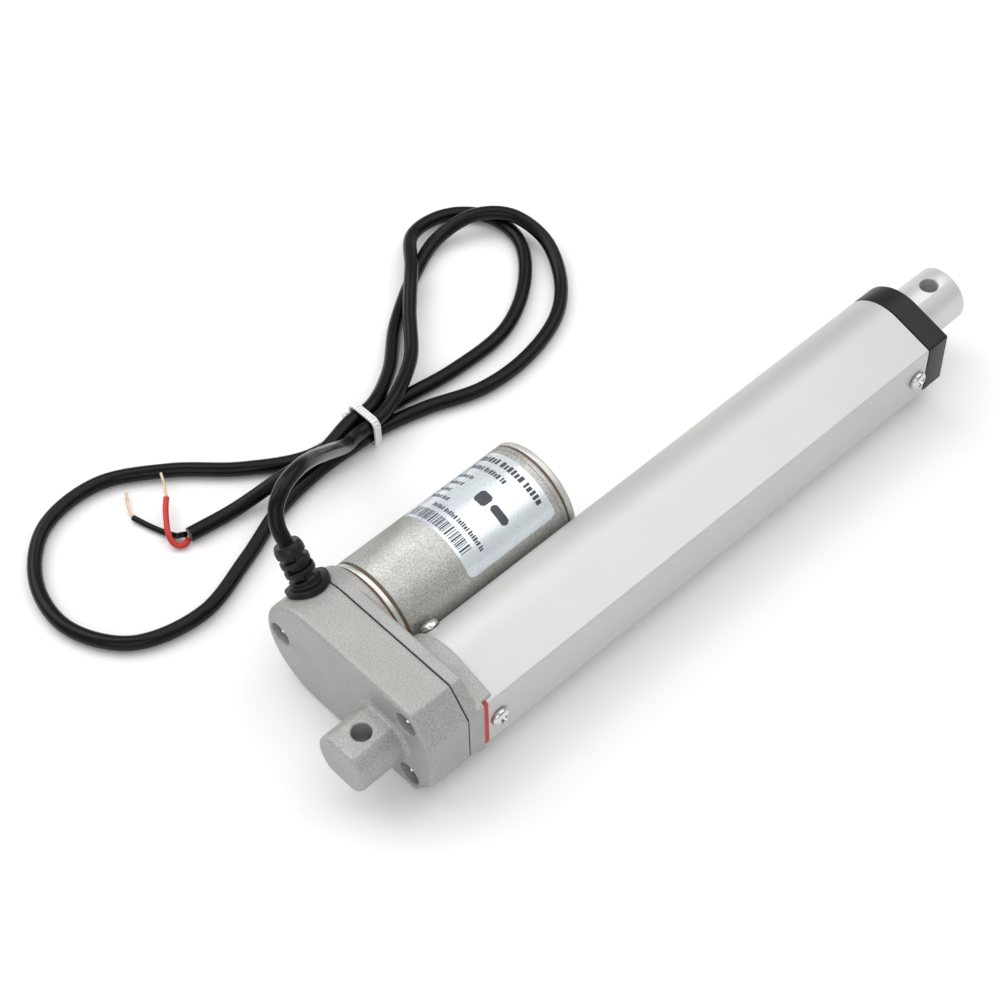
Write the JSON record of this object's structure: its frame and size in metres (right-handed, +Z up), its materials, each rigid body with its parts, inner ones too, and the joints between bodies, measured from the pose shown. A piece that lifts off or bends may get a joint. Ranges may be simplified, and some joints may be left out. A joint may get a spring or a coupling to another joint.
{
  "type": "linear actuator",
  "caption": "Electric linear actuator with a parallel motor, cast gear case, flat-sided tube, black end cap, push rod and trailing two-wire lead.",
  "frame": {"origin": "centre of the base of the box around the actuator without its lead, on the surface it lies on", "axes": "+X along the push rod as it extends, +Y from the tube towards the motor, +Z up"},
  "size_m": [0.2975, 0.1845, 0.063],
  "materials": {
    "cast_paint": "sandy satin",
    "black_gasket": "matte",
    "red_gasket": "matte",
    "brown_gasket": "matte",
    "plated_steel": "bright",
    "anodised_tube": "satin",
    "rod_aluminium": "satin",
    "black_plastic": "satin",
    "switch_plastic": "satin",
    "plunger_plastic": "satin",
    "circuit_board": "satin",
    "acetal": "satin",
    "gear_steel": "ground",
    "bright_steel": "ground",
    "brass": "turned",
    "bronze": "sintered",
    "motor_zinc": "sandy satin",
    "motor_face": "satin",
    "ferrite": "matte",
    "laminations": "lacquered",
    "copper": "turned",
    "carbon": "matte",
    "board": "matte",
    "black_pvc": "satin",
    "red_pvc": "satin",
    "white_nylon": "satin"
  },
  "bodies": {
    "housing": {"rear_cover": "cast_paint", "case_gasket": "black_gasket", "front_housing": "cast_paint", "cover_screw_1": "plated_steel", "cover_screw_2": "plated_steel", "cover_screw_3": "plated_steel", "outer_tube": "anodised_tube", "tube_gasket": "red_gasket", "front_cap": "black_plastic", "rod_guide_bush": "brass", "rod_wiper": "black_gasket", "tube_screw_1": "plated_steel", "tube_screw_2": "plated_steel", "tube_screw_3": "plated_steel", "cap_screw_1": "plated_steel", "cap_screw_2": "plated_steel", "screw_rear_bush": "bronze", "bearing_outer_ring": "bright_steel", "bearing_retainer": "bright_steel", "idler_pin": "bright_steel", "motor_gasket": "brown_gasket", "motor_front_plate": "motor_face", "motor_can": "motor_zinc", "motor_rear_cap": "motor_zinc", "magnet_upper": "ferrite", "magnet_lower": "ferrite", "brush_inner": "carbon", "brush_outer": "carbon", "brush_plate": "board", "motor_front_bush": "bronze", "motor_rear_bush": "bronze", "motor_screw_1": "bright_steel", "motor_screw_2": "bright_steel", "switch_strip": "circuit_board", "limit_switch_rear": "switch_plastic", "limit_switch_front": "switch_plastic", "cable_grommet": "black_plastic", "power_cord": "black_pvc", "red_wire": "red_pvc", "black_wire": "black_pvc", "red_wire_tip": "copper", "black_wire_tip": "copper", "cable_tie": "white_nylon"},
    "screw": {"lead_screw": "bright_steel", "screw_gear": "gear_steel", "bearing_inner_ring": "bright_steel"},
    "rod": {"push_rod": "rod_aluminium", "rod_plug": "rod_aluminium", "travel_nut": "acetal"},
    "idler": {"idler_gear": "gear_steel"},
    "rotor": {"motor_shaft": "bright_steel", "motor_pinion": "brass", "armature": "laminations", "commutator": "copper"},
    "plunger_rear": {"switch_plunger_rear": "plunger_plastic"},
    "plunger_front": {"switch_plunger_front": "plunger_plastic"}
  },
  "joints": [
    {"name": "rotor_spin", "type": "hinge", "parent": "housing", "child": "rotor", "pos_m": [-0.068, 0.01613, 0.02], "axis": [1, 0, 0], "range_deg": [0, 67466.67]},
    {"name": "idler_spin", "type": "hinge", "parent": "housing", "child": "idler", "pos_m": [-0.1077, 0.00013, 0.02], "axis": [1, 0, 0], "range_deg": [-26401, 0]},
    {"name": "screw_spin", "type": "hinge", "parent": "housing", "child": "screw", "pos_m": [-0.015, -0.01837, 0.02], "axis": [1, 0, 0], "range_deg": [0, 18001]},
    {"name": "rod_slide", "type": "slide", "parent": "housing", "child": "rod", "axis": [1, 0, 0], "range_m": [0, 0.15002]},
    {"name": "rear_plunger", "type": "slide", "parent": "housing", "child": "plunger_rear", "axis": [0, -1, 0], "range_m": [0, 0.0007], "stiffness_N_per_m": 100, "springref_m": -0.0003},
    {"name": "front_plunger", "type": "slide", "parent": "housing", "child": "plunger_front", "axis": [0, -1, 0], "range_m": [0, 0.0007], "stiffness_N_per_m": 100, "springref_m": -0.0003}
  ],
  "couplings": [
    {"joint": "idler_spin", "follows": "rotor_spin", "ratio": -0.3913},
    {"joint": "screw_spin", "follows": "rotor_spin", "ratio": 0.2668},
    {"joint": "rod_slide", "follows": "rotor_spin", "m_per_rad": 0.00012739}
  ]
}
